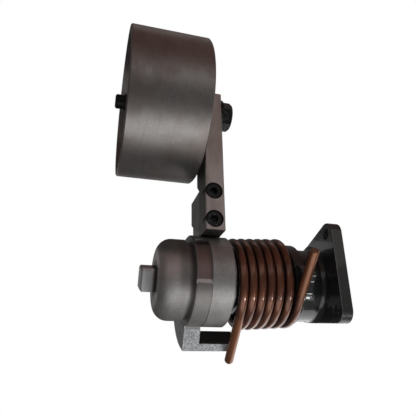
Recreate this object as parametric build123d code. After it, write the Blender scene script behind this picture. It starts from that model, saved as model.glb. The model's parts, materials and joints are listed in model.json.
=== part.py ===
from build123d import *
from math import atan, cos, pi, radians, sin, sqrt
import os

# Belt tensioner with a wide idler drum, an arm that swings on a pivot and an open torsion spring.
# The pivot axis is X and the origin is the centre of the flange's mounting face.
# Lengths in millimetres, angles in degrees. Places along X count down from the flange to the wrench lug.

# Arm clocking and the pulley's place in the upright arm
arm_tilt = 24.0
pulley_height = 144.5

# Mounting flange
flange_thickness = 9.0
flange_lobe_radius = 9.0
flange_hole_radius = 4.5
front_hole_back = -37.5
upper_hole_height = 33.5
lower_hole_height = -27.3
rear_hole_back = 45.0
rear_hole_height = 2.0
flange_waist_margin = 1.0
flange_edge_round = 0.6

# Base body, spring collar and the tube under the spring
body_radius = 29.5
body_length = 18.0
body_fillet = 4.0
collar_radius = 33.0
collar_length = 9.5
collar_edge_chamfer = 1.2
tube_radius = 26.0
tube_length = 46.5
horn_reach = 36.0
horn_root = 14.0
horn_foot_height = -3.0
horn_top_height = 17.0
horn_width = 11.5
horn_over_body = 3.0
horn_depth = 8.0
horn_round = 4.0

# Pivot shaft and what holds it
shaft_radius = 15.0
shaft_press_length = 40.0
shaft_end_gap = 4.5
shaft_chamfer = 1.0
bush_wall = 2.0
bush_length = 20.0
bush_inset = 1.0
bore_relief = 1.5
running_clearance = 0.03
rear_pocket_radius = 22.0
rear_pocket_depth = 10.0
rear_washer_radius = 21.0
rear_washer_thickness = 2.0
shaft_ring_radius = 18.0
shaft_ring_thickness = 1.5
shaft_ring_groove = 0.8
shaft_ring_gap = 5.0
plug_thickness = 1.5
plug_inset = 1.0
plug_chamfer = 0.3
thrust_washer_radius = 29.5
thrust_washer_thickness = 2.5

# Torsion spring
wire_diameter = 7.0
coil_mean_radius = 33.1
close_coil_gap = 0.15
close_turns = 4.55
open_coil_gap = 1.75
open_turns = 1.45
leg_leave_angle = 24.0
lower_leg_length = 50.5
upper_leg_length = 52.0
spring_start_gap = 2.9
spring_cock = 3.5
spring_cock_centre = 28.0
wire_end_chamfer = 0.8
spring_seat_clearance = 0.3

# Arm casting: ring, band, neck, dome and wrench lug, from the spring to the left
ring_length = 17.5
ring_radius = 35.4
band_length = 12.2
band_edge_round = 0.8
neck_length = 4.2
neck_radius = 29.5
dome_length = 21.0
dome_radius = 31.5
dome_fillet = 11.0
lug_length = 11.5
lug_side = 17.8
lug_chamfer = 1.2
parting_groove_width = 0.7
parting_groove_depth = 0.5
casting_edge_round = 0.8

# Pocket in the band's upper front
pocket_ledge_angle = 7.5
pocket_slope_angle = 5.0
pocket_top_angle = 72.0
pocket_depth = 2.6
pocket_rim = 1.1
pocket_cutter_margin = 6.6
pocket_corner = 1.0

# Ear and tab that the lower spring leg bears on
ear_radius = 53.0
ear_width = 12.8
tab_wall = 5.0
tab_length = 34.0
tab_end_slant = 4.5
tab_back = 17.0
leg_bearing_gap = 0.15
ear_rear_angle = -50.0

# Block on the casting and the bar screwed to it
block_width = 13.8
block_half_depth = 13.3
block_neck_back = 7.7
block_step_height = 51.3
block_step_drop = 4.1
block_top_margin = 7.6
bar_width = 15.5
bar_front = -34.0
bar_thickness = 27.5
bar_foot_gap = 0.25
bar_top_margin = 13.5
bar_shoulder_gap = 0.3
bar_foot_chamfer = 3.2
bar_edge_round = 1.0
bar_from_ring_edge = 6.5

# Screws that hold the bar
lower_screw_margin = 8.9
screw_spacing = 23.5
screw_radius = 4.0
screw_length = 30.0
screw_head_radius = 6.5
screw_head_height = 8.0
screw_socket_width = 6.0
screw_socket_depth = 4.0
counterbore_radius = 7.1
counterbore_depth = 8.6
screw_clearance = 0.5
screw_hole_spare = 1.1
thread_clearance = 0.05

# Drum
drum_radius = 62.5
drum_width = 63.5
drum_gap = 3.8
drum_wall = 6.0
drum_edge_chamfer = 0.8
drum_web = 8.0
drum_hub_wall = 7.5
drum_hub_right_lip = 1.5
drum_hub_left_lip = 2.0
drum_shoulder = 2.5
drum_web_fillet = 3.0

# Ball bearings
bearing_bore_radius = 8.5
bearing_outer_radius = 23.5
bearing_width = 14.0
inner_race_radius = 12.6
outer_race_radius = 19.4
ball_radius = 4.36
ball_count = 7
ball_clearance = 0.05
cage_half_thickness = 1.3
cage_half_width = 5.0
seal_thickness = 1.0
seal_inset = 0.4
seal_lip_gap = 0.1
race_corner = 0.8
circlip_thickness = 1.5
circlip_groove = 1.2
circlip_height = 3.0
circlip_gap = 6.0

# Pulley bolt and its stack
bolt_radius = 7.0
bolt_head_width = 22.0
bolt_head_height = 8.8
bolt_point_radius = 6.0
bolt_point_chamfer = 1.2
bolt_point_length = 7.3
bolt_shank_show = 2.7
bolt_washer_radius = 14.0
washer_thickness = 2.3
nut_washer_radius = 12.0
nut_height = 8.0
arm_spacer_length = 6.8
spacer_radius = 11.5
race_spacer_length = 18.5
sleeve_clearance = 0.1

# Places along X that follow from the sizes
flange_left = -flange_thickness
body_left = flange_left - body_length
horn_right = body_left + horn_over_body
horn_left = horn_right - horn_width
collar_left = body_left - collar_length
tube_left = collar_left - tube_length
casting_right = tube_left - thrust_washer_thickness
ring_left = casting_right - ring_length
band_left = ring_left - band_length
neck_left = band_left - neck_length
dome_left = neck_left - dome_length
lug_left = dome_left - lug_length
bar_right = casting_right - bar_from_ring_edge
bar_left = bar_right - bar_width
drum_right = bar_left - drum_gap
drum_left = drum_right - drum_width
bush_radius = shaft_radius + running_clearance + bush_wall
shaft_left = casting_right - shaft_press_length
shaft_right = -shaft_end_gap
right_bearing = bar_left - arm_spacer_length
left_bearing = right_bearing - bearing_width - race_spacer_length
stack_left = left_bearing - bearing_width
ball_ring_radius = (inner_race_radius + outer_race_radius) / 2
pulley_back = bar_front + bar_thickness / 2
block_centre = bar_left + block_width / 2
nut_left = stack_left - washer_thickness - nut_height

# Other sizes that follow
wire_radius = wire_diameter / 2
close_pitch = wire_diameter + close_coil_gap
open_pitch = wire_diameter + open_coil_gap
spring_start = wire_radius + spring_start_gap
flange_waist_radius = body_radius + flange_waist_margin
pocket_cutter_radius = ring_radius + pocket_cutter_margin
bar_bottom = sqrt((ring_radius + bar_foot_gap) ** 2 - (block_half_depth + bar_foot_chamfer) ** 2)
lower_screw_height = bar_bottom + lower_screw_margin
upper_screw_height = lower_screw_height + screw_spacing
block_top = upper_screw_height + block_top_margin
bar_top = pulley_height + bar_top_margin
bar_shoulder = block_top + bar_shoulder_gap
screw_seat = bar_front + counterbore_depth
screw_hole_depth = screw_seat + screw_length + block_half_depth + screw_hole_spare
drum_hub_radius = bearing_outer_radius + drum_hub_wall


def arm_placed(shape):
    """Turn a shape from the upright arm to the arm's clocking about the pivot."""
    return Rot(-arm_tilt, 0, 0) * shape


def pulley_placed(shape):
    """Move a shape that turns about X to the pulley's axis."""
    return arm_placed(Pos(0, pulley_back, pulley_height) * shape)


def spun(sketch):
    """Solid of revolution about X from a half section drawn as (x, radius)."""
    return revolve(Plane.XZ * sketch, Axis.X, 360)


def turned(*points):
    """Solid of revolution about X from (x, radius) corners."""
    return spun(make_face(Polyline(*points, close=True)))


def tube_between(x_low, x_high, inner, outer):
    """Plain ring about X."""
    return turned((x_low, inner), (x_high, inner), (x_high, outer), (x_low, outer))


def rod_between(x_low, x_high, radius, chamfer_low=0.0, chamfer_high=0.0):
    """Solid rod about X with an optional chamfer at each end."""
    corners = [(x_low, 0), (x_low, radius - chamfer_low)]
    if chamfer_low > 0:
        corners.append((x_low + chamfer_low, radius))
    if chamfer_high > 0:
        corners.append((x_high - chamfer_high, radius))
    corners += [(x_high, radius - chamfer_high), (x_high, 0)]
    return turned(*corners)


def across(x, sketch, length):
    """Extrude a sketch drawn in the (y, z) plane from x towards +X."""
    return extrude(Pos(x, 0, 0) * (Plane.YZ * sketch), length)


def spring_line():
    """Centre line of the spring: lower leg, close coils, open coils and upper leg, all tangent."""
    start_x = casting_right + spring_start
    lean = radians(leg_leave_angle)
    down = Vector(0, sin(lean), -cos(lean))
    out = Vector(0, -cos(lean), -sin(lean))
    low_slope = atan(close_pitch / (2 * pi * coil_mean_radius))
    high_slope = atan(open_pitch / (2 * pi * coil_mean_radius))
    close_height = close_pitch * close_turns
    open_height = open_pitch * open_turns
    first = Vector(start_x, 0, 0) + out * coil_mean_radius
    close_plane = Plane(origin=(start_x, 0, 0), x_dir=out, z_dir=(1, 0, 0))
    close_coils = close_plane * Helix(close_pitch, close_height, coil_mean_radius, lefthand=True)
    turned_way = Vector(1, 0, 0).rotate(Axis.Z, -360 * close_turns)
    turn_out = close_plane.from_local_coords(turned_way) - close_plane.origin
    open_plane = Plane(origin=(start_x + close_height, 0, 0), x_dir=turn_out, z_dir=(1, 0, 0))
    open_coils = open_plane * Helix(open_pitch, open_height, coil_mean_radius, lefthand=True)
    last = Vector(start_x + close_height + open_height, 0, 0) + out * coil_mean_radius
    lower_way = down * cos(low_slope) - Vector(1, 0, 0) * sin(low_slope)
    upper_way = Vector(1, 0, 0) * sin(high_slope) - down * cos(high_slope)
    lower_leg = Line(first + lower_way * lower_leg_length, first)
    upper_leg = Line(last, last + upper_way * upper_leg_length)
    return [lower_leg, close_coils, open_coils, upper_leg]


def spring_cocked(shape):
    """Tip a shape as the spring sits: its lower end a little down, its upper end a little up."""
    centre_x = casting_right + spring_cock_centre
    return Pos(centre_x, 0, 0) * Rot(0, -spring_cock, 0) * Pos(-centre_x, 0, 0) * shape


def face_behind(leg, z):
    """Place along Y, at height z, of a face that a straight spring leg leans on."""
    way = leg % 1
    centre_y = (leg @ 1).Y + (z - (leg @ 1).Z) * way.Y / way.Z
    return centre_y + (wire_radius + leg_bearing_gap) * sqrt(1 + (way.Y / way.Z) ** 2)


def swept_wire(pieces, radius):
    """Round wire of a given radius along pieces of the spring's centre line."""
    path = Wire([piece.edge() for piece in pieces])
    section = Plane(origin=path @ 0, z_dir=path % 0) * Circle(radius)
    return sweep(section, path=path)


def make_torsion_spring():
    wire = swept_wire(spring_line(), wire_radius)
    tips = wire.faces().filter_by(GeomType.PLANE).edges()
    return spring_cocked(chamfer(tips, wire_end_chamfer))


def flange_outline():
    """Three bolt lobes and a round waist, joined by their outer tangents."""
    upper = Pos(front_hole_back, upper_hole_height) * Circle(flange_lobe_radius)
    lower = Pos(front_hole_back, lower_hole_height) * Circle(flange_lobe_radius)
    rear = Pos(rear_hole_back, rear_hole_height) * Circle(flange_lobe_radius)
    rings = upper.edges() + lower.edges() + rear.edges() + Circle(flange_waist_radius).edges()
    return make_hull(rings)


def flange_hole(back, height):
    """One bolt hole through the flange, in the upright arm's frame."""
    return across(flange_left, Pos(back, height) * Circle(flange_hole_radius), flange_thickness)


def make_flange():
    plate = across(flange_left, flange_outline(), flange_thickness)
    plate = fillet(plate.edges().group_by(Axis.X)[0], flange_edge_round)
    plate -= flange_hole(front_hole_back, upper_hole_height)
    plate -= flange_hole(front_hole_back, lower_hole_height)
    plate -= flange_hole(rear_hole_back, rear_hole_height)
    return arm_placed(plate)


def make_body_root():
    """Concave flare where the round body meets the flange, trimmed by the flange's outline."""
    start_x = flange_left - body_fillet
    low = (start_x, body_radius)
    high = (flange_left, body_radius + body_fillet)
    flare = RadiusArc(low, high, -body_fillet)
    sides = Polyline(high, (flange_left, 0), (start_x, 0), low)
    cone = spun(make_face(flare.edges() + sides.edges()))
    return arm_placed(cone & across(start_x, flange_outline(), body_fillet))


def horn_outline():
    """Side view of the anchor horn: a pad under the collar's front that leans out behind the upper leg."""
    leg = spring_cocked(spring_line()[-1])
    slope = (leg % 1).Y / (leg % 1).Z
    bend_z = (-horn_reach - face_behind(leg, 0)) / slope
    top_y = face_behind(leg, horn_top_height)
    points = [
        (-horn_root, horn_foot_height),
        (-horn_reach, horn_foot_height),
        (-horn_reach, bend_z),
        (top_y, horn_top_height),
        (top_y + horn_depth, horn_top_height + horn_depth / 2),
        (-horn_root, horn_top_height),
    ]
    return make_face(Polyline(*points, close=True))


def make_horn():
    horn = across(horn_left, horn_outline(), horn_width)
    corners = horn.edges().filter_by(Axis.X).filter_by(lambda e: e.center().Y < -body_radius)
    horn = fillet(corners, horn_round)
    return horn - rod_between(horn_left, horn_right, tube_radius)


def base_outline():
    """Half section of the base: tube, collar and body, with its stepped bore."""
    relief = bush_radius + bore_relief
    bush_stop = tube_left + bush_inset + bush_length
    rear_stop = -rear_pocket_depth - bush_inset - bush_length
    return [
        (tube_left, bush_radius),
        (tube_left, tube_radius),
        (collar_left, tube_radius),
        (collar_left, collar_radius),
        (body_left - collar_edge_chamfer, collar_radius),
        (body_left, collar_radius - collar_edge_chamfer),
        (body_left, body_radius),
        (0, body_radius),
        (0, rear_pocket_radius),
        (-rear_pocket_depth, rear_pocket_radius),
        (-rear_pocket_depth, bush_radius),
        (rear_stop, bush_radius),
        (rear_stop, relief),
        (bush_stop, relief),
        (bush_stop, bush_radius),
    ]


def make_spring_seat():
    """Room for the spring's last coil and upper leg, cut from the collar and the horn."""
    last_coil_and_leg = spring_line()[2:]
    return spring_cocked(swept_wire(last_coil_and_leg, wire_radius + spring_seat_clearance))


def make_base_housing():
    base = make_flange() + make_body_root()
    base -= rod_between(flange_left - body_fillet, 0, rear_pocket_radius)
    base = turned(*base_outline()) + base + make_horn()
    return base - make_spring_seat()


def make_thrust_washer():
    return tube_between(casting_right, tube_left, shaft_radius + 2 * running_clearance, thrust_washer_radius)


def make_front_bush():
    left = tube_left + bush_inset
    return tube_between(left, left + bush_length, shaft_radius + running_clearance, bush_radius)


def make_rear_bush():
    right = -rear_pocket_depth - bush_inset
    return tube_between(right - bush_length, right, shaft_radius + running_clearance, bush_radius)


def make_rear_washer():
    left = -rear_pocket_depth
    inner = shaft_radius + running_clearance
    return tube_between(left, left + rear_washer_thickness, inner, rear_washer_radius)


def make_shaft_ring():
    left = -rear_pocket_depth + rear_washer_thickness + running_clearance
    inner = shaft_radius - shaft_ring_groove
    ring = tube_between(left, left + shaft_ring_thickness, inner, shaft_ring_radius)
    opening = Pos(0, shaft_ring_radius) * Rectangle(shaft_ring_gap, shaft_ring_radius)
    return ring - across(left, opening, shaft_ring_thickness)


def make_rear_plug():
    return rod_between(-plug_inset - plug_thickness, -plug_inset, rear_pocket_radius, 0.0, plug_chamfer)


def make_pivot_shaft():
    ring_x = -rear_pocket_depth + rear_washer_thickness + running_clearance
    shaft = rod_between(shaft_left, shaft_right, shaft_radius, shaft_chamfer, shaft_chamfer)
    floor_radius = shaft_radius - shaft_ring_groove
    return shaft - tube_between(ring_x, ring_x + shaft_ring_thickness, floor_radius, shaft_ring_radius)


def casting_outline():
    """Half section of the arm casting: ring, parting groove, band, neck and dome."""
    groove_left = ring_left - parting_groove_width
    fillet_start = dome_left + dome_fillet
    flat_radius = dome_radius - dome_fillet
    rounded = RadiusArc((fillet_start, dome_radius), (dome_left, flat_radius), -dome_fillet)
    walls = Polyline(
        (dome_left, flat_radius),
        (dome_left, 0),
        (shaft_left, 0),
        (shaft_left, shaft_radius),
        (casting_right, shaft_radius),
        (casting_right, ring_radius - casting_edge_round),
        (casting_right - casting_edge_round, ring_radius),
        (ring_left, ring_radius),
        (ring_left, ring_radius - parting_groove_depth),
        (groove_left, ring_radius - parting_groove_depth),
        (groove_left, ring_radius),
        (band_left + band_edge_round, ring_radius),
        (band_left, ring_radius - band_edge_round),
        (band_left, neck_radius),
        (neck_left, neck_radius),
        (neck_left, dome_radius),
        (fillet_start, dome_radius),
    )
    return make_face(rounded.edges() + walls.edges())


def make_lug():
    """Square lug for a wrench on the dome's flat face."""
    root_x = dome_left + dome_fillet / 2
    lug = across(lug_left, Rectangle(lug_side, lug_side), root_x - lug_left)
    return chamfer(lug.edges().group_by(Axis.X)[0], lug_chamfer)


def make_block():
    """Block that the arm bar is screwed to, in the upright arm."""
    half = block_half_depth
    outline = Polyline(
        (-half, neck_radius / 2),
        (-half, block_top),
        (half, block_top),
        (half, block_step_height),
        (block_neck_back, block_step_height - block_step_drop),
        (block_neck_back, neck_radius / 2),
        close=True,
    )
    return across(bar_left, make_face(outline), block_width)


def screw_hole(height):
    """Tapped hole in the block."""
    hole = rod_between(0, screw_hole_depth, screw_radius + thread_clearance)
    return arm_placed(Pos(block_centre, -block_half_depth, height) * Rot(0, 0, 90) * hole)


def ear_outline(front):
    """Side view of the ear: a flat front face, a foot round the pivot and a straight back."""
    back_angle = radians(ear_rear_angle)
    back = (ear_radius * cos(back_angle), ear_radius * sin(back_angle))
    foot = CenterArc((0, 0), ear_radius, -90, 90 + ear_rear_angle)
    walls = Polyline(back, (ring_radius, 0), (front, 0), (front, -ear_radius), (0, -ear_radius))
    return make_face(foot.edges() + walls.edges())


def tab_outline(front):
    """Side view of the tab: a curved wall round the pivot between two upright planes."""
    flat_foot = Pos(front / 2, -ear_radius / 2) * Rectangle(-front, ear_radius)
    wall = Circle(ear_radius) + flat_foot - Circle(ear_radius - tab_wall)
    window = Pos((front + tab_back) / 2, -ear_radius) * Rectangle(tab_back - front, ear_radius)
    return wall & window


def make_spring_catch():
    """Ear and tab below the band; the lower spring leg leans on the front of the tab's slanted end."""
    leg = spring_cocked(spring_line()[0])
    front = face_behind(leg, -ear_radius)
    ear = across(band_left, ear_outline(front), ear_width)
    tab = across(band_left + ear_width / 2, tab_outline(front), ear_width / 2 + tab_length)
    end = band_left + ear_width + tab_length
    wedge = Polyline((end, tab_back), (end, front), (end - tab_end_slant, front), close=True)
    return ear + tab - extrude(make_face(wedge), -ear_radius)


def make_band_pocket():
    """Shallow pocket in the band's upper front, with a sloped ledge below."""
    floor_radius = ring_radius - pocket_depth
    low = radians(pocket_ledge_angle)
    deep = radians(pocket_ledge_angle + pocket_slope_angle)
    lip = Vector(-ring_radius * cos(low), ring_radius * sin(low))
    heel = Vector(-floor_radius * cos(deep), floor_radius * sin(deep))
    outer = lip + (lip - heel) * 2
    top = radians(pocket_top_angle)
    top_in = Vector(-floor_radius * cos(top), floor_radius * sin(top))
    top_out = Vector(-pocket_cutter_radius * cos(top), pocket_cutter_radius * sin(top))
    corner = Vector(-pocket_cutter_radius, pocket_cutter_radius)
    start = 180 - pocket_top_angle
    floor = CenterArc((0, 0), floor_radius, start, pocket_top_angle - pocket_ledge_angle - pocket_slope_angle)
    walls = Polyline(heel, outer, corner, top_out, top_in)
    pocket_left = band_left + pocket_rim
    cutter = across(pocket_left, make_face(floor.edges() + walls.edges()), ring_left - pocket_left)
    ledge = cutter.edges().group_by(Axis.X)[0].sort_by(Axis.Z)[0]
    return fillet(ledge, pocket_corner)


def make_arm_casting():
    casting = spun(casting_outline()) - make_band_pocket()
    casting += make_lug()
    casting += arm_placed(make_block())
    casting += make_spring_catch()
    casting -= screw_hole(upper_screw_height) + screw_hole(lower_screw_height)
    return casting - rod_between(shaft_left, casting_right, shaft_radius)


def make_arm_bar():
    """Machined bar: two counterbored screw holes below and the pulley bolt's hole above."""
    back = bar_front + bar_thickness
    seat = -block_half_depth
    outline = Polyline(
        (bar_front, bar_bottom),
        (seat - bar_foot_chamfer, bar_bottom),
        (seat, bar_bottom + bar_foot_chamfer),
        (seat, bar_shoulder),
        (back, bar_shoulder + back - seat),
        (back, bar_top),
        (bar_front, bar_top),
        close=True,
    )
    bar = across(bar_left, make_face(outline), bar_width)
    bar = fillet(bar.edges().filter_by(Axis.Z), bar_edge_round)
    bar -= counterbored_hole(upper_screw_height) + counterbored_hole(lower_screw_height)
    bolt_hole = rod_between(bar_left, bar_right, bolt_radius + sleeve_clearance)
    return arm_placed(bar - Pos(0, pulley_back, pulley_height) * bolt_hole)


def counterbored_hole(height):
    """Screw hole through the bar with a counterbore in the front face, in the upright arm."""
    wide = rod_between(0, counterbore_depth, counterbore_radius)
    narrow = rod_between(0, bar_thickness, screw_radius + screw_clearance)
    return Pos(block_centre, bar_front, height) * Rot(0, 0, 90) * (wide + narrow)


def make_arm_screw(height):
    """Socket head screw along the upright arm's depth, seated in its counterbore."""
    head = rod_between(-screw_head_height, 0, screw_head_radius, casting_edge_round)
    socket = RegularPolygon(screw_socket_width / 2, 6, major_radius=False)
    head -= across(-screw_head_height, socket, screw_socket_depth)
    screw = head + rod_between(0, screw_length, screw_radius, 0.0, casting_edge_round)
    seat = Pos(block_centre, screw_seat, height)
    return arm_placed(seat * Rot(0, 0, 90) * screw)


def make_arm_screw_upper():
    return make_arm_screw(upper_screw_height)


def make_arm_screw_lower():
    return make_arm_screw(lower_screw_height)


def hexagon_between(x_low, x_high, width, round_low, round_high):
    """Hexagon prism about X with its corners turned off at either end."""
    corner = width / sqrt(3)
    prism = across(x_low, RegularPolygon(corner, 6), x_high - x_low)
    cut = corner - width / 2
    turned_off = rod_between(x_low, x_high, corner, cut if round_low else 0.0, cut if round_high else 0.0)
    return prism & turned_off


def make_pulley_bolt():
    head_left = bar_right + washer_thickness
    shank_left = nut_left - bolt_shank_show
    head = hexagon_between(head_left, head_left + bolt_head_height, bolt_head_width, False, True)
    shank = rod_between(shank_left, head_left, bolt_radius)
    point = rod_between(shank_left - bolt_point_length, shank_left, bolt_point_radius, bolt_point_chamfer)
    return pulley_placed(head + shank + point)


def make_bolt_washer():
    inner = bolt_radius + sleeve_clearance
    return pulley_placed(tube_between(bar_right, bar_right + washer_thickness, inner, bolt_washer_radius))


def make_bearing_sleeve():
    inner = bolt_radius + sleeve_clearance
    return pulley_placed(tube_between(stack_left, bar_left, inner, bearing_bore_radius))


def make_arm_spacer():
    return pulley_placed(tube_between(right_bearing, bar_left, bearing_bore_radius, spacer_radius))


def make_race_spacer():
    right = right_bearing - bearing_width
    return pulley_placed(tube_between(left_bearing, right, bearing_bore_radius, spacer_radius))


def make_nut_washer():
    inner = bolt_radius + sleeve_clearance
    return pulley_placed(tube_between(stack_left - washer_thickness, stack_left, inner, nut_washer_radius))


def make_pulley_nut():
    nut = hexagon_between(nut_left, nut_left + nut_height, bolt_head_width, True, True)
    hole = rod_between(nut_left, nut_left + nut_height, bolt_radius + thread_clearance)
    return pulley_placed(nut - hole)


def race_groove(bearing_right):
    """Ball track shared by the two races of a bearing."""
    middle = bearing_right - bearing_width / 2
    return spun(Pos(middle, ball_ring_radius) * Circle(ball_radius + ball_clearance))


def make_inner_race(bearing_right):
    left = bearing_right - bearing_width
    race = turned(
        (left, bearing_bore_radius + race_corner),
        (left + race_corner, bearing_bore_radius),
        (bearing_right - race_corner, bearing_bore_radius),
        (bearing_right, bearing_bore_radius + race_corner),
        (bearing_right, inner_race_radius),
        (left, inner_race_radius),
    )
    return pulley_placed(race - race_groove(bearing_right))


def make_outer_race(bearing_right):
    left = bearing_right - bearing_width
    race = turned(
        (left, bearing_outer_radius - race_corner),
        (left + race_corner, bearing_outer_radius),
        (bearing_right - race_corner, bearing_outer_radius),
        (bearing_right, bearing_outer_radius - race_corner),
        (bearing_right, outer_race_radius),
        (left, outer_race_radius),
    )
    return pulley_placed(race - race_groove(bearing_right))


def ball_spheres(bearing_right, radius):
    """Spheres at the balls' places in a bearing."""
    middle = bearing_right - bearing_width / 2
    step = 360 / ball_count
    return [
        Pos(middle, 0, 0) * Rot(index * step, 0, 0) * Pos(0, 0, ball_ring_radius) * Sphere(radius)
        for index in range(ball_count)
    ]


def make_balls(bearing_right):
    return pulley_placed(Part() + ball_spheres(bearing_right, ball_radius))


def make_cage(bearing_right):
    middle = bearing_right - bearing_width / 2
    inner = ball_ring_radius - cage_half_thickness
    outer = ball_ring_radius + cage_half_thickness
    ring = tube_between(middle - cage_half_width, middle + cage_half_width, inner, outer)
    return pulley_placed(ring - ball_spheres(bearing_right, ball_radius + seal_lip_gap))


def make_seal(outer_face, inward):
    """Shield set a little inside one face of a bearing; inward is +1 or -1 along X."""
    near = outer_face + inward * seal_inset
    far = near + inward * seal_thickness
    inner = inner_race_radius + seal_lip_gap
    return pulley_placed(tube_between(min(near, far), max(near, far), inner, outer_race_radius))


def make_drum_circlip():
    outer = bearing_outer_radius + circlip_groove - seal_lip_gap
    inner = bearing_outer_radius - circlip_height
    clip = tube_between(stack_left - circlip_thickness, stack_left, inner, outer)
    opening = Pos(0, -bearing_outer_radius) * Rectangle(circlip_gap, bearing_outer_radius)
    return pulley_placed(clip - across(stack_left - circlip_thickness, opening, circlip_thickness))


def is_web_corner(x, radius):
    """Whether a corner of the drum's half section is where the web meets the rim or the hub."""
    on_web = abs(x - (drum_left + drum_right) / 2) < drum_web
    on_hub = abs(radius - drum_hub_radius) < drum_edge_chamfer
    on_rim = abs(radius - drum_radius + drum_wall) < drum_edge_chamfer
    return on_web and (on_hub or on_rim)


def drum_outline():
    """Half section of the drum: rim, web, hub, bearing seats with a shoulder between, circlip groove."""
    inner = drum_radius - drum_wall
    web_right = (drum_left + drum_right + drum_web) / 2
    web_left = web_right - drum_web
    hub_right = right_bearing + drum_hub_right_lip
    hub_left = stack_left - circlip_thickness - drum_hub_left_lip
    seat = bearing_outer_radius
    groove = seat + circlip_groove
    shoulder = seat - drum_shoulder
    groove_left = stack_left - circlip_thickness
    return Polyline(
        (hub_right, seat),
        (hub_right, drum_hub_radius),
        (web_right, drum_hub_radius),
        (web_right, inner),
        (drum_right, inner),
        (drum_right, drum_radius - drum_edge_chamfer),
        (drum_right - drum_edge_chamfer, drum_radius),
        (drum_left + drum_edge_chamfer, drum_radius),
        (drum_left, drum_radius - drum_edge_chamfer),
        (drum_left, inner),
        (web_left, inner),
        (web_left, drum_hub_radius),
        (hub_left, drum_hub_radius),
        (hub_left, seat),
        (groove_left, seat),
        (groove_left, groove),
        (stack_left, groove),
        (stack_left, seat),
        (left_bearing, seat),
        (left_bearing, shoulder),
        (right_bearing - bearing_width, shoulder),
        (right_bearing - bearing_width, seat),
        close=True,
    )


def make_pulley_drum():
    section = make_face(drum_outline())
    web_corners = section.vertices().filter_by(lambda v: is_web_corner(v.X, v.Y))
    return pulley_placed(spun(fillet(web_corners, drum_web_fillet)))


pieces = {
    "base_housing": make_base_housing(),
    "front_bush": make_front_bush(),
    "rear_bush": make_rear_bush(),
    "thrust_washer": make_thrust_washer(),
    "rear_plug": make_rear_plug(),
    "torsion_spring": make_torsion_spring(),
    "arm_casting": make_arm_casting(),
    "pivot_shaft": make_pivot_shaft(),
    "rear_washer": make_rear_washer(),
    "shaft_ring": make_shaft_ring(),
    "arm_bar": make_arm_bar(),
    "arm_screw_upper": make_arm_screw_upper(),
    "arm_screw_lower": make_arm_screw_lower(),
    "pulley_bolt": make_pulley_bolt(),
    "bolt_washer": make_bolt_washer(),
    "bearing_sleeve": make_bearing_sleeve(),
    "arm_spacer": make_arm_spacer(),
    "race_spacer": make_race_spacer(),
    "nut_washer": make_nut_washer(),
    "pulley_nut": make_pulley_nut(),
    "pulley_drum": make_pulley_drum(),
    "drum_circlip": make_drum_circlip(),
}
for side, bearing_right in (("right", right_bearing), ("left", left_bearing)):
    pieces[f"{side}_inner_race"] = make_inner_race(bearing_right)
    pieces[f"{side}_outer_race"] = make_outer_race(bearing_right)
    pieces[f"{side}_balls"] = make_balls(bearing_right)
    pieces[f"{side}_cage"] = make_cage(bearing_right)
    pieces[f"{side}_bearing_arm_seal"] = make_seal(bearing_right, -1)
    pieces[f"{side}_bearing_nut_seal"] = make_seal(bearing_right - bearing_width, 1)

os.makedirs("parts", exist_ok=True)
for name, piece in pieces.items():
    export_step(piece, f"parts/{name}.step")
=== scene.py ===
import json
from math import atan, cos, pi, radians, sin

import bpy
from mathutils import Euler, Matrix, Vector


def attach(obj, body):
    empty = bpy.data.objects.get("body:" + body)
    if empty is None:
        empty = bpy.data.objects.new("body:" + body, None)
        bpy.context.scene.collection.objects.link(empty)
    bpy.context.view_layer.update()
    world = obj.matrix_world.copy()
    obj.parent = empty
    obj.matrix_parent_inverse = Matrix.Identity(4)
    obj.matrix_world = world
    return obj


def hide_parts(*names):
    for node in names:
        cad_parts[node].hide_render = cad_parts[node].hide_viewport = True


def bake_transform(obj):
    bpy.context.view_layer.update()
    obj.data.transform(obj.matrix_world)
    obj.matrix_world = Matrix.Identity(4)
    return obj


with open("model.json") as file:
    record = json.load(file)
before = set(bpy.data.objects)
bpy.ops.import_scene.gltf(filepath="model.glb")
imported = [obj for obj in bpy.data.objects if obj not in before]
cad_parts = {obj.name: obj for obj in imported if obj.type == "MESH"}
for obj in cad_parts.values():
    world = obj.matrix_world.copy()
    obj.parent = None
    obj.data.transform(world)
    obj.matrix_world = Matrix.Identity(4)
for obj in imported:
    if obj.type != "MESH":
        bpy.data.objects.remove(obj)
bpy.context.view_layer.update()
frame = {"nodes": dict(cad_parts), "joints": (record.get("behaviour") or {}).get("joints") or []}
nodes = frame["nodes"]


# Base: an iron casting that bolts to the engine. The pivot's tube runs out of a triangular
# flange, with a collar and a horn for the spring. It is dipped in thick black paint, which
# shines over the sand-cast skin. On the flange's rim it is dull and chipped.

class Flow:
    """One output in a node tree. Arithmetic on it adds Math nodes."""

    def __init__(self, tree, socket=None):
        self.tree = tree
        self.socket = socket

    def node(self, kind, inputs, output=0, **settings):
        """Add a node: its settings first, then the values or links of its sockets."""
        made = self.tree.nodes.new(kind)
        for name, value in settings.items():
            setattr(made, name, value)
        for name, value in inputs.items():
            if isinstance(value, Flow):
                self.tree.links.new(value.socket, made.inputs[name])
            else:
                made.inputs[name].default_value = value
        return Flow(self.tree, made.outputs[output] if made.outputs else None)

    def maths(self, operation, first, second=0.0):
        return self.node("ShaderNodeMath", {0: first, 1: second}, operation=operation)

    def __add__(self, other):
        return self.maths("ADD", self, other)

    def __radd__(self, other):
        return self.maths("ADD", other, self)

    def __sub__(self, other):
        return self.maths("SUBTRACT", self, other)

    def __rsub__(self, other):
        return self.maths("SUBTRACT", other, self)

    def __mul__(self, other):
        return self.maths("MULTIPLY", self, other)

    def __truediv__(self, other):
        return self.maths("DIVIDE", self, other)

    def __pow__(self, other):
        return self.maths("POWER", self, other)


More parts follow.
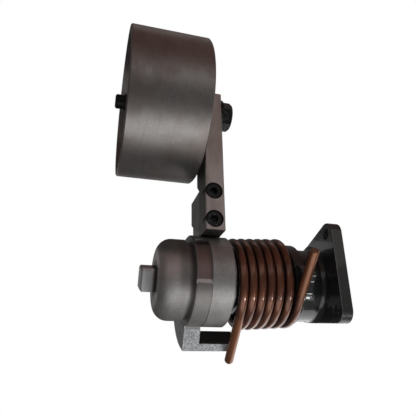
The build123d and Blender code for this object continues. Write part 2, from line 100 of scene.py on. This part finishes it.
def rising(value, low, high):
    """A mask that rises smoothly from 0 to 1 as a value goes from low to high."""
    sockets = {"Value": value, "From Min": low, "From Max": high}
    return value.node("ShaderNodeMapRange", sockets, interpolation_type="SMOOTHSTEP")


def between(value, start, full, fading, end):
    """A mask that rises smoothly from start to full and falls again from fading to end."""
    return rising(value, start, full) * rising(value, end, fading)


def tinted(mask, colour, other):
    """One colour where the mask is 0 and the other where it is 1."""
    first = colour if isinstance(colour, Flow) else (*colour, 1.0)
    second = other if isinstance(other, Flow) else (*other, 1.0)
    return mask.node("ShaderNodeMix", {0: mask, 6: first, 7: second}, output=2, data_type="RGBA")


def new_finish(name):
    """An empty material and its object coordinates."""
    finish = bpy.data.materials.new(name)
    finish.use_nodes = True
    finish.node_tree.nodes.clear()
    return finish, Flow(finish.node_tree).node("ShaderNodeTexCoord", {}, output="Object")


def part(place, axis):
    """One of the three parts of a place, along an axis."""
    return place.node("ShaderNodeSeparateXYZ", {0: place}, output=axis)


def cloud(place, scale, detail=2.0, stretch=(1.0, 1.0, 1.0)):
    """Soft noise from 0 to 1, with a scale per metre and a stretch along each axis."""
    spread = place.node("ShaderNodeMapping", {"Vector": place, "Scale": stretch})
    return place.node("ShaderNodeTexNoise", {"Vector": spread, "Scale": scale, "Detail": detail})


def skin(height, depth):
    """A bump of a real depth in metres."""
    return height.node("ShaderNodeBump", {"Height": height, "Distance": depth}, output="Normal")


def coat(place, **inputs):
    """The shader itself, joined to the material's output."""
    sockets = {name.replace("_", " "): value for name, value in inputs.items()}
    shader = place.node("ShaderNodeBsdfPrincipled", sockets)
    place.node("ShaderNodeOutputMaterial", {"Surface": shader})


def wear_finish(finish, *names):
    """Put a finish on CAD nodes."""
    for name in names:
        nodes[name].material_slots[0].material = finish


paint_black = (0.020, 0.023, 0.025)
paint_rubbed = (0.074, 0.078, 0.076)
iron_bare = (0.30, 0.30, 0.29)
flange_face = -0.0090
rub_start = flange_face + 0.00005
rub_end = flange_face + 0.0009

black_paint, place = new_finish("gloss_black_paint_over_iron")
x = part(place, "X")
on_rim = rising(x, flange_face, flange_face + 0.0010)
on_rim_edge = between(x, rub_start, rub_start + 0.00015, rub_end - 0.0004, rub_end)
sand_skin = cloud(place, 620.0, 3.0)
runs = cloud(place, 45.0, 1.0)
chipped = rising(cloud(place, 760.0, 4.0), 0.54, 0.70)
dulled = on_rim * (0.40 + chipped) + rising(runs, 0.52, 0.68) * 0.2
painted = tinted(dulled, paint_black, paint_rubbed)
coat(
    place,
    Base_Color=tinted(on_rim_edge * (0.35 + chipped * 0.65), painted, iron_bare),
    Roughness=0.16 + dulled * 0.30 + sand_skin * 0.10,
    Coat_Weight=0.95 - dulled * 0.7,
    Coat_Roughness=0.05,
    Normal=skin(sand_skin * 0.6 + runs * 1.6, 0.00028),
)
wear_finish(black_paint, "base_housing")


# Pivot: a ground steel shaft that turns in two bronze bushes inside the tube. A steel washer
# takes the thrust between the tube and the arm. The shaft's far end has a washer and a snap
# ring, behind a pressed plug in the flange.

steel_bright = (0.60, 0.60, 0.61)
steel_stained = (0.42, 0.41, 0.40)

ground_steel, place = new_finish("ground_steel")
grinding = cloud(place, 2600.0, 1.0, (1.0, 0.15, 0.15))
stain = rising(cloud(place, 80.0), 0.45, 0.70)
coat(
    place,
    Base_Color=tinted(stain, steel_bright, steel_stained),
    Metallic=1.0,
    Roughness=0.20 + stain * 0.14 + grinding * 0.06,
    Normal=skin(grinding, 0.00001),
)
wear_finish(ground_steel, "pivot_shaft", "thrust_washer", "rear_washer", "bearing_sleeve")

bronze_fresh = (0.55, 0.33, 0.13)
bronze_dull = (0.33, 0.19, 0.08)

bush_bronze, place = new_finish("bearing_bronze")
pores = cloud(place, 1400.0, 2.0)
coat(
    place,
    Base_Color=tinted(rising(pores, 0.4, 0.7), bronze_fresh, bronze_dull),
    Metallic=1.0,
    Roughness=0.34 + pores * 0.18,
    Normal=skin(pores, 0.00002),
)
wear_finish(bush_bronze, "front_bush", "rear_bush")

plug_grey = (0.30, 0.30, 0.30)
plug_dark = (0.23, 0.225, 0.22)

pressed_steel, place = new_finish("pressed_sheet_steel")
press_marks = cloud(place, 260.0, 5.0)
coat(
    place,
    Base_Color=tinted(rising(press_marks, 0.40, 0.72), plug_grey, plug_dark),
    Metallic=0.9,
    Roughness=0.36 + press_marks * 0.16,
    Normal=skin(press_marks, 0.00005),
)
wear_finish(pressed_steel, "rear_plug")


# Torsion spring: one 7 mm wire, wound left-handed in six turns with a straight leg at each end.
# The right leg leans on the base's horn and the left one on the arm's ear and tab. The copper
# brown lacquer is lighter on the legs, a painted highlight, and darker between the turns, a painted
# shade.

def add_input(tree, name, kind, value=None):
    """A named input of a geometry node tree."""
    socket = tree.interface.new_socket(name, in_out="INPUT", socket_type=kind)
    if value is not None:
        socket.default_value = value
    return socket.identifier


def wound_wire_tree():
    """Geometry nodes for a wire wound round X at two pitches, with a straight leg at each end."""
    tree = bpy.data.node_groups.new("wound_wire", "GeometryNodeTree")
    lengths = {
        "Start": -0.079,
        "Coil Radius": 0.033,
        "Wire Radius": 0.0035,
        "Close Pitch": 0.007,
        "Open Pitch": 0.009,
        "Left Leg": 0.05,
        "Right Leg": 0.05,
        "End Bevel": 0.0008,
    }
    for name, value in lengths.items():
        add_input(tree, name, "NodeSocketFloat", value)
    for name, value in {"Close Turns": 4.5, "Open Turns": 1.5, "Lean": 0.4}.items():
        add_input(tree, name, "NodeSocketFloat", value)
    for name, value in {"Points": 1200, "Sides": 24}.items():
        add_input(tree, name, "NodeSocketInt", value)
    for name in ("Shift", "Tip"):
        add_input(tree, name, "NodeSocketVector", (0.0, 0.0, 0.0))
    add_input(tree, "Finish", "NodeSocketMaterial")
    tree.interface.new_socket("Wire", in_out="OUTPUT", socket_type="NodeSocketGeometry")
    given = tree.nodes.new("NodeGroupInput")
    size = {socket.name: Flow(tree, socket) for socket in given.outputs if socket.name}

    first = Flow(tree)
    radius = size["Coil Radius"]
    turn = 2 * pi
    round_once = radius * turn
    left_leg = size["Left Leg"]
    coils = (size["Close Turns"] + size["Open Turns"]) * round_once
    whole = left_leg + coils + size["Right Leg"]
    index = first.node("GeometryNodeInputIndex", {})
    last = size["Points"] - 1
    along = index / last * whole - left_leg
    wound = first.maths("MINIMUM", first.maths("MAXIMUM", along, 0.0), coils)
    straight = along - wound
    angle = size["Lean"] + pi - wound / radius
    past_close = first.maths("MAXIMUM", wound - size["Close Turns"] * round_once, 0.0)
    past_coils = first.maths("MAXIMUM", straight, 0.0)
    pitch_change = size["Open Pitch"] - size["Close Pitch"]
    travel = (wound + straight) * size["Close Pitch"] + (past_close + past_coils) * pitch_change
    point_x = size["Start"] + travel / round_once
    cosine = first.maths("COSINE", angle)
    sine = first.maths("SINE", angle)
    point_y = radius * cosine + straight * sine
    point_z = radius * sine - straight * cosine
    point = first.node("ShaderNodeCombineXYZ", {0: point_x, 1: point_y, 2: point_z})

    row = first.node("GeometryNodeMeshLine", {"Count": size["Points"]})
    row = first.node("GeometryNodeSetPosition", {"Geometry": row, "Position": point})
    line = first.node("GeometryNodeMeshToCurve", {"Mesh": row})
    from_start = first.maths("MINIMUM", index, last - index)
    at_end = first.maths("LESS_THAN", from_start, 0.5)
    thickness = 1.0 - at_end * size["End Bevel"] / size["Wire Radius"]
    round_wire = {"Resolution": size["Sides"], "Radius": size["Wire Radius"]}
    section = first.node("GeometryNodeCurvePrimitiveCircle", round_wire)
    swept = {"Curve": line, "Profile Curve": section, "Scale": thickness, "Fill Caps": True}
    wire = first.node("GeometryNodeCurveToMesh", swept)
    moved = {"Geometry": wire, "Translation": size["Shift"], "Rotation": size["Tip"]}
    wire = first.node("GeometryNodeTransform", moved)
    wire = first.node("GeometryNodeRealizeInstances", {"Geometry": wire})
    wire = first.node("GeometryNodeSetMaterial", {"Geometry": wire, "Material": size["Finish"]})
    first.node("NodeGroupOutput", {"Wire": wire})
    return tree


def grown(name, tree, **values):
    """Run a geometry node tree with the given inputs and keep its result as a plain mesh."""
    seed = bpy.data.objects.new(name, bpy.data.meshes.new(name))
    bpy.context.scene.collection.objects.link(seed)
    growth = seed.modifiers.new(name, "NODES")
    growth.node_group = tree
    sockets = {item.name: item.identifier for item in tree.interface.items_tree}
    for words, value in values.items():
        growth[sockets[words.replace("_", " ")]] = value
    bpy.context.view_layer.update()
    evaluated = seed.evaluated_get(bpy.context.evaluated_depsgraph_get())
    mesh = bpy.data.meshes.new_from_object(evaluated)
    seed.modifiers.clear()
    seed.data = mesh
    mesh.name = name
    return seed


def smooth_over(piece, sharpest):
    """Round shading, with edges kept where two faces meet at more than an angle."""
    piece.data.polygons.foreach_set("use_smooth", [True] * len(piece.data.polygons))
    piece.data.set_sharp_from_angle(angle=sharpest)


lacquer_brown = (0.245, 0.096, 0.052)
lacquer_dark = (0.145, 0.052, 0.030)
leg_painted_highlight = (0.34, 0.135, 0.062)
lacquer_fleck = (0.52, 0.40, 0.20)
turn_gap_painted_shade = (0.060, 0.026, 0.018)
wire_radius = 0.0035
coil_radius = 0.0331
coils_outside = coil_radius + wire_radius

spring_lacquer, place = new_finish("copper_brown_spring_lacquer")
y, z = part(place, "Y"), part(place, "Z")
drawn = cloud(place, 520.0, 3.0)
patches = rising(cloud(place, 70.0), 0.42, 0.66)
flecks = rising(cloud(place, 330.0, 1.0), 0.795, 0.815)
lacquered = tinted(patches, lacquer_brown, lacquer_dark)
from_axis = (y * y + z * z) ** 0.5
# Painted shade: the sides of the turns darken towards the gaps between them, where shade falls.
shaded_groove = rising(from_axis, coils_outside - 0.0007, coil_radius + 0.0005)
lacquered = tinted(shaded_groove, lacquered, turn_gap_painted_shade)
# Painted highlight: the straight legs get a lighter lacquer colour, as if lit more than the turns.
on_leg = rising(from_axis, coils_outside, coils_outside + 0.003)
lacquered = tinted(on_leg, lacquered, leg_painted_highlight)
coat(
    place,
    Base_Color=tinted(flecks, lacquered, lacquer_fleck),
    Metallic=0.66,
    Roughness=0.27 + drawn * 0.12 + patches * 0.05,
    Coat_Weight=0.9,
    Coat_Roughness=0.05,
    Normal=skin(drawn, 0.00006),
)

joint_places = {joint["name"]: joint["pos_m"] for joint in frame["joints"]}
casting_face = joint_places["arm_swing"][0]
close_pitch = 0.00715
open_pitch = 0.00875
close_turns = 4.55
open_turns = 1.45
left_leg = 0.0505
right_leg = 0.0520
leg_lean = radians(24.0)
spring_tip = radians(-3.5)
tip_centre = casting_face + 0.028
first_turn = casting_face + 0.0064

spring = grown(
    "torsion_spring_wire",
    wound_wire_tree(),
    Start=first_turn,
    Coil_Radius=coil_radius,
    Wire_Radius=wire_radius,
    Close_Pitch=close_pitch,
    Open_Pitch=open_pitch,
    Left_Leg=left_leg * cos(atan(close_pitch / (2 * pi * coil_radius))),
    Right_Leg=right_leg * cos(atan(open_pitch / (2 * pi * coil_radius))),
    Close_Turns=close_turns,
    Open_Turns=open_turns,
    Lean=leg_lean,
    Shift=(tip_centre * (1 - cos(spring_tip)), 0.0, tip_centre * sin(spring_tip)),
    Tip=(0.0, spring_tip, 0.0),
    Finish=spring_lacquer,
)
smooth_over(spring, radians(40))
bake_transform(spring)
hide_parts("torsion_spring")


# Arm casting: ring, band, neck and dome turned in one setting from a steel casting, with a square
# lug for a wrench, a block for the arm's bar, and a rough ear and tab that the spring pushes on.
# The skin is gritty. A lighter reddish streak high on the dome is a painted highlight, and the
# crown, the shoulder's top and the groove carry painted shade; the band's pocket is brown.

def turned_marks(place, pitch, axis_y=0.0, axis_z=0.0):
    """The fine rings that a lathe leaves round an axis along X, on walls and on faces."""
    axis = (0.0, axis_y, axis_z)
    off_axis = place.node("ShaderNodeVectorMath", {0: place, 1: axis}, operation="SUBTRACT")
    along, side, up = (part(off_axis, direction) for direction in "XYZ")
    away = (side * side + up * up) ** 0.5
    rings = place.node("ShaderNodeCombineXYZ", {0: along / pitch, 1: away / pitch, 2: up * 40.0})
    return place.node("ShaderNodeTexNoise", {"Vector": rings, "Scale": 1.0, "Detail": 2.0})


casting_grey = (0.44, 0.44, 0.435)
casting_brown = (0.36, 0.335, 0.33)
casting_grit = (0.64, 0.67, 0.69)
painted_shade_grey = (0.25, 0.235, 0.23)
dome_painted_highlight = (0.70, 0.58, 0.59)
crown_painted_shade = (0.17, 0.15, 0.14)
painted_shade_black = (0.07, 0.065, 0.065)
lug_painted_light = (0.61, 0.64, 0.67)
pocket_brown = (0.31, 0.235, 0.225)
pocket_end_painted_shade = (0.12, 0.10, 0.10)
band_edge_painted_highlight = (0.95, 0.95, 0.93)
ledge_painted_highlight = (0.95, 0.95, 0.94)
ear_grey = (0.37, 0.39, 0.40)
ear_light = (0.82, 0.86, 0.90)
tab_shade = (0.030, 0.030, 0.026)

ring_length = 0.0175
band_length = 0.0122
neck_length = 0.0042
dome_length = 0.0210
ring_radius = 0.0354
ear_edge = -0.1024
ear_top = -0.0357
tab_inside = 0.0480
block_foot = 0.038
ledge_foot = 0.0044
ledge_head = 0.0074
pocket_end = 0.0310
lug_root_gap = 0.0021
lug_top = 0.0072
root_shadow = 0.0165
crisp = 0.0004
ring_edge = casting_face - ring_length
band_edge = ring_edge - band_length
dome_edge = band_edge - neck_length
dome_end = dome_edge - dome_length
lug_root = dome_end - lug_root_gap
corner_start = band_edge + 0.0001
corner_end = band_edge + 0.0009
groove_start = dome_edge + 0.0006
shoulder_left = dome_edge - 0.0096
shoulder_right = dome_edge - 0.0041

cast_steel, place = new_finish("satin_machined_casting")
x, y, z = (part(place, axis) for axis in "XYZ")
lathe = turned_marks(place, 0.0006)
grain = cloud(place, 900.0, 3.0)
stains = rising(cloud(place, 95.0, 4.0), 0.38, 0.72)
grit = rising(cloud(place, 1400.0, 4.0), 0.42, 0.70)
away = (y * y + z * z) ** 0.5
on_ear = rising(z, ear_top, ear_top - crisp)
on_block = rising(z, block_foot, block_foot + 0.001)
as_cast = on_ear.maths("MAXIMUM", on_ear, on_block)
chips = rising(cloud(place, 1150.0, 6.0), 0.34, 0.68) * on_ear
turned = 1.0 - on_ear

on_band = between(x, band_edge, band_edge + 0.0002, ring_edge - 0.0002, ring_edge)
in_pocket = on_band * rising(away, ring_radius - 0.0004, ring_radius - 0.0012)
in_pocket = in_pocket * rising(z, ledge_foot, ledge_foot + 0.0003)
off_face = on_band * rising(away, ring_radius - 0.0001, ring_radius - 0.0003)
# Painted highlight: the ledge's strip is nearly white, less metallic and rougher, so it shows as a
# bright line.
on_ledge = off_face * between(z, ledge_foot - 0.0004, ledge_foot, ledge_head - 0.0006, ledge_head)
# Painted shade: the pocket's upper end is darkened to nearly black.
at_pocket_end = off_face * rising(z, pocket_end - 0.002, pocket_end)
# Painted shade: the band just below the ledge is darkened, where the ledge shades it.
under_ledge = between(z, ledge_foot - 0.018, ledge_foot - 0.003, ledge_foot, ledge_foot + 0.001)
under_ledge = under_ledge * on_band
# Painted highlight: a nearly white line along the band's rounded left edge below the ledge.
band_corner = between(x, corner_start, corner_start + 0.0002, corner_end - 0.0004, corner_end)
band_corner = band_corner * rising(away, ring_radius - 0.0010, ring_radius - 0.0006)
band_corner = band_corner * rising(z, ledge_foot, -0.004)

# Painted shade: the upper side of the dome's shoulder next to the band, and a little of the band
# itself, are darkened.
on_shoulder = between(x, shoulder_left, shoulder_right, band_edge, band_edge + 0.0012)
on_shoulder = on_shoulder * rising(z, -0.008, 0.006)
# Painted shade: the groove between the neck and the band is darkened, where shade falls.
shaded_groove = between(x, groove_start, groove_start + 0.0028, band_edge - 0.0001, band_edge + 0.0001)
shaded_groove = shaded_groove * turned
on_dome = rising(x, dome_edge, dome_edge - 0.0008) * turned
# Painted shade: the dome's crown is darkened, as its top receives little light.
on_crown = on_dome * rising(z, 0.0205, 0.0265)
# Painted highlight: a lighter reddish streak across the dome's upper side.
on_dome_highlight = on_dome * between(z, 0.0, 0.011, 0.0185, 0.0245)
on_dome_highlight = on_dome_highlight * rising(x, shoulder_left + 0.006, shoulder_left - 0.002)
# Painted shade: the dome's face round the lug's root is darkened to near black, where shade falls.
lug_root_shade = between(x, lug_root - 0.001, lug_root + 0.001, dome_end, dome_end + 0.0006)
lug_root_shade = lug_root_shade * rising(away, root_shadow, root_shadow - 0.0045)
# Painted light: the lug's end and front below its top edge are made pale, as if lit, and its top
# stays dark.
lit_lug_face = rising(x, lug_root, lug_root - 0.003) * rising(z, lug_top, lug_top - 0.001)
inside_tab = rising(x, ear_edge, ear_edge + crisp) * rising(away, tab_inside + crisp, tab_inside)
inside_tab = inside_tab * on_ear

skin_colour = tinted(stains, casting_grey, casting_brown)
skin_colour = tinted(grit * 0.55, skin_colour, casting_grit)
skin_colour = tinted(on_shoulder * 0.8 + on_band * 0.45, skin_colour, painted_shade_grey)
skin_colour = tinted(under_ledge, skin_colour, painted_shade_grey)
skin_colour = tinted(on_dome_highlight * 0.55, skin_colour, dome_painted_highlight)
skin_colour = tinted(on_crown * 0.75, skin_colour, crown_painted_shade)
skin_colour = tinted(shaded_groove * 0.6, skin_colour, painted_shade_black)
skin_colour = tinted(lug_root_shade, skin_colour, painted_shade_black)
skin_colour = tinted(lit_lug_face * 0.8, skin_colour, lug_painted_light)
skin_colour = tinted(in_pocket, skin_colour, pocket_brown)
skin_colour = tinted(at_pocket_end, skin_colour, pocket_end_painted_shade)
skin_colour = tinted(band_corner * 0.8, skin_colour, band_edge_painted_highlight)
skin_colour = tinted(on_ledge, skin_colour, ledge_painted_highlight)
ear_colour = tinted(chips, ear_grey, ear_light)
ear_colour = tinted(inside_tab, ear_colour, tab_shade)
coat(
    place,
    Base_Color=tinted(on_ear, skin_colour, ear_colour),
    Metallic=0.74 - as_cast * 0.15 - on_ledge * 0.7,
    Roughness=0.42 + grain * 0.10 + grit * 0.06 + as_cast * 0.10 + on_ledge * 0.2,
    Normal=skin(lathe * (1.0 - as_cast) * 0.25 + grain * (0.35 + on_ear * 2.2), 0.00008),
)
wear_finish(cast_steel, "arm_casting")


# Arm bar: a milled steel bar, screwed to the casting's block by two sunk socket screws.
# The cutter has left fine marks across its faces; its sides carry painted shade, darker than its
# front.
# It holds the pulley's bolt at its top.

bar_grey = (0.68, 0.635, 0.61)
bar_dark = (0.55, 0.50, 0.48)
bar_side_painted_shade = (0.20, 0.19, 0.18)
bar_front = -0.0340

milled_steel, place = new_finish("milled_bar_steel")
leaning = {"Vector": place, "Angle": leg_lean}
upright = place.node("ShaderNodeVectorRotate", leaning, rotation_type="X_AXIS")
strokes = cloud(upright, 1100.0, 2.0, (0.12, 0.5, 1.0))
smears = rising(cloud(upright, 90.0, 3.0, (1.0, 1.0, 0.35)), 0.38, 0.70)
# Painted shade: every face behind the bar's front is darkened, as its sides lie in shadow.
behind_face = rising(part(upright, "Y"), bar_front + 0.0006, bar_front + 0.0014)
coat(
    place,
    Base_Color=tinted(behind_face, tinted(smears, bar_grey, bar_dark), bar_side_painted_shade),
    Metallic=1.0,
    Roughness=0.42 + strokes * 0.14 + smears * 0.05,
    Normal=skin(strokes, 0.00004),
)
wear_finish(milled_steel, "arm_bar", "arm_spacer", "race_spacer")


# Fasteners: blackened screws, washers, nut, snap rings and the long pulley bolt. Oil darkens
# the oxide, and patches of it are rubbed a little brighter.

oxide_black = (0.024, 0.026, 0.026)
oxide_rubbed = (0.10, 0.105, 0.105)

black_oxide, place = new_finish("black_oxide_on_steel")
oiled = cloud(place, 260.0, 3.0)
rubbed = rising(oiled, 0.52, 0.74)
coat(
    place,
    Base_Color=tinted(rubbed, oxide_black, oxide_rubbed),
    Metallic=0.55,
    Roughness=0.34 + oiled * 0.16,
    Normal=skin(cloud(place, 1500.0), 0.00003),
)
wear_finish(
    black_oxide,
    "arm_screw_upper",
    "arm_screw_lower",
    "pulley_bolt",
    "bolt_washer",
    "nut_washer",
    "pulley_nut",
    "shaft_ring",
    "drum_circlip",
)


# Thread: the turns that show on the bolt past its nut. They are rolled on the real bolt, and
# are a helix of wire here, laid half into the shank.

bolt_y, bolt_z = joint_places["pulley_spin"][1:]
thread_left = -0.17375
thread_pitch = 0.0020
thread_turns = 1.3

thread = grown(
    "bolt_thread",
    wound_wire_tree(),
    Start=thread_left,
    Coil_Radius=0.0070,
    Wire_Radius=0.00055,
    Close_Pitch=thread_pitch,
    Open_Pitch=thread_pitch,
    Left_Leg=0.0,
    Right_Leg=0.0,
    End_Bevel=0.0004,
    Close_Turns=thread_turns,
    Open_Turns=0.0,
    Lean=0.0,
    Points=160,
    Sides=8,
    Shift=(0.0, bolt_y, bolt_z),
    Tip=(0.0, 0.0, 0.0),
    Finish=black_oxide,
)
smooth_over(thread, radians(60))
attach(thread, "arm")


# Drum: a wide smooth idler turned from steel, with a rim, a web and a hub for two ball bearings.
# The belt has polished it a little. Faint turning rings and brown handling stains show.

drum_grey = (0.42, 0.412, 0.40)
drum_brown = (0.33, 0.295, 0.28)
drum_stain = (0.24, 0.22, 0.23)

turned_steel, place = new_finish("turned_drum_steel")
fine = turned_marks(place, 0.0005, bolt_y, bolt_z)
broad = turned_marks(place, 0.0035, bolt_y, bolt_z)
handled = cloud(place, 38.0, 4.0)
specks = rising(cloud(place, 520.0, 2.0), 0.60, 0.72)
brown = rising(handled, 0.40, 0.66)
grit = rising(cloud(place, 1500.0, 4.0), 0.35, 0.65)
stained = specks * 0.35 + rising(broad, 0.5, 0.8) * 0.25 + grit * 0.3
coat(
    place,
    Base_Color=tinted(stained, tinted(brown, drum_grey, drum_brown), drum_stain),
    Metallic=1.0,
    Roughness=0.32 + fine * 0.08 + brown * 0.05 + grit * 0.08,
    Normal=skin(fine + broad * 0.5 + grit * 0.8, 0.000026),
)
wear_finish(turned_steel, "pulley_drum")


# Bearings: two sealed ball bearings on a sleeve round the bolt, with ground races, polished
# balls in moulded cages and black rubber seals with moulded rings.

for side in ("right", "left"):
    wear_finish(ground_steel, f"{side}_inner_race", f"{side}_outer_race")

ball_bright = (0.70, 0.70, 0.71)
ball_hazy = (0.62, 0.62, 0.64)

polished_steel, place = new_finish("polished_ball_steel")
haze = cloud(place, 900.0)
coat(
    place,
    Base_Color=tinted(haze, ball_bright, ball_hazy),
    Metallic=1.0,
    Roughness=0.06 + haze * 0.05,
)
wear_finish(polished_steel, "right_balls", "left_balls")

cage_brown = (0.14, 0.11, 0.07)
cage_dark = (0.09, 0.07, 0.05)

cage_plastic, place = new_finish("moulded_cage_plastic")
mould = cloud(place, 700.0)
coat(
    place,
    Base_Color=tinted(mould, cage_brown, cage_dark),
    Roughness=0.42 + mould * 0.12,
    Normal=skin(mould, 0.00002),
)
wear_finish(cage_plastic, "right_cage", "left_cage")

rubber_black = (0.016, 0.016, 0.016)
rubber_dusty = (0.040, 0.039, 0.037)

seal_rubber, place = new_finish("seal_rubber")
moulded_rings = turned_marks(place, 0.0012, bolt_y, bolt_z)
dust = rising(cloud(place, 240.0, 3.0), 0.45, 0.75)
coat(
    place,
    Base_Color=tinted(dust, rubber_black, rubber_dusty),
    Roughness=0.50 + dust * 0.18,
    Normal=skin(moulded_rings, 0.00006),
)
for side in ("right", "left"):
    wear_finish(seal_rubber, f"{side}_bearing_arm_seal", f"{side}_bearing_nut_seal")


# Studio: a white floor and backdrop, a large soft light lying low in front, which draws the
# bright band along the drum, a small strong one that glints on the spring's turns, and dimmer
# soft lights above, beside and behind.

floor_level = -0.36
floor_reach = 30.0
quarters = ((-1, -1), (1, -1), (1, 1), (-1, 1))
corners = [(across * floor_reach, along * floor_reach, floor_level) for across, along in quarters]
floor_mesh = bpy.data.meshes.new("studio_floor")
floor_mesh.from_pydata(corners, [], [(0, 1, 2, 3)])
floor = bpy.data.objects.new("studio_floor", floor_mesh)
bpy.context.scene.collection.objects.link(floor)
floor_paint = bpy.data.materials.new("pale_floor")
floor_paint.use_nodes = True
floor_paint.node_tree.nodes.clear()
pale = Flow(floor_paint.node_tree)
glow = pale.node("ShaderNodeEmission", {"Color": (1.0, 1.0, 1.0, 1.0), "Strength": 1.0})
pale.node("ShaderNodeOutputMaterial", {"Surface": glow})
floor_mesh.materials.append(floor_paint)
floor.visible_glossy = False
floor.visible_diffuse = False


def softbox(name, place, aim, width, height, radiance, colour=(1.0, 1.0, 1.0)):
    """A rectangular soft light of a given brightness, turned towards a point."""
    lamp = bpy.data.lights.new(name, "AREA")
    lamp.shape = "RECTANGLE"
    lamp.size = width
    lamp.size_y = height
    lamp.energy = radiance * pi * width * height
    lamp.color = colour
    holder = bpy.data.objects.new(name, lamp)
    holder.location = place
    holder.rotation_euler = (Vector(aim) - Vector(place)).to_track_quat("-Z", "Y").to_euler()
    holder.visible_camera = False
    bpy.context.scene.collection.objects.link(holder)


warm_white = (1.0, 0.975, 0.95)
rose_white = (1.0, 0.95, 0.94)
softbox("low_front_light", (-0.19, -0.46, -0.25), (-0.19, -0.46, 1.0), 0.62, 0.56, 0.86, warm_white)
softbox("key_light", (0.20, -0.52, -0.24), (-0.05, 0.0, 0.02), 0.15, 0.05, 22.0)
softbox("under_light", (0.27, 0.14, -0.25), (0.27, 0.14, 1.0), 0.56, 0.48, 1.0)
softbox("high_front_light", (0.18, -1.0, 1.05), (-0.1, 0.0, 0.08), 1.5, 0.5, 0.42, rose_white)
softbox("back_light", (-0.1, 1.2, -0.20), (-0.1, 0.0, 0.0), 1.6, 0.34, 0.35)
softbox("high_back_light", (0.0, 0.9, 1.2), (-0.1, 0.0, 0.05), 1.0, 0.5, 0.25)
softbox("left_light", (-0.95, -0.65, 0.70), (-0.1, 0.0, 0.05), 0.6, 0.5, 0.45)
softbox("right_light", (1.1, 0.1, 0.2), (-0.1, 0.0, 0.05), 0.8, 0.6, 0.40)

wall_grey = (0.085, 0.079, 0.077)
ceiling_brown = (0.122, 0.068, 0.057)

room = bpy.data.worlds.new("studio_room")
room.use_nodes = True
room.node_tree.nodes.clear()
air = Flow(room.node_tree)
seen = air.node("ShaderNodeLightPath", {}, output="Is Camera Ray")
white = air.node("ShaderNodeBackground", {"Color": (1.0, 1.0, 1.0, 1.0), "Strength": 1.0})
facing = air.node("ShaderNodeTexCoord", {}, output="Generated")
walls_and_ceiling = tinted(rising(part(facing, "Z"), 0.45, 0.95), wall_grey, ceiling_brown)
dim = air.node("ShaderNodeBackground", {"Color": walls_and_ceiling})
both = air.node("ShaderNodeMixShader", {0: seen, 1: dim, 2: white})
air.node("ShaderNodeOutputWorld", {"Surface": both})
bpy.context.scene.world = room
bpy.context.scene.view_settings.view_transform = "Standard"


# Camera: a normal lens close to the part, a little above the spring and just left of the drum.
# It is turned to the right and rolled a few degrees, as in the photograph.

lens_camera = bpy.data.cameras.new("camera")
lens_camera.sensor_width = 36.0
lens_camera.lens = 37.346
lens_camera.clip_start = 0.01
camera = bpy.data.objects.new("camera", lens_camera)
camera.location = (-0.19026, -0.33162, 0.05812)
camera.rotation_euler = Euler((radians(90.0), radians(-5.365), radians(-14.750)))
bpy.context.scene.collection.objects.link(camera)
bpy.context.scene.camera = camera
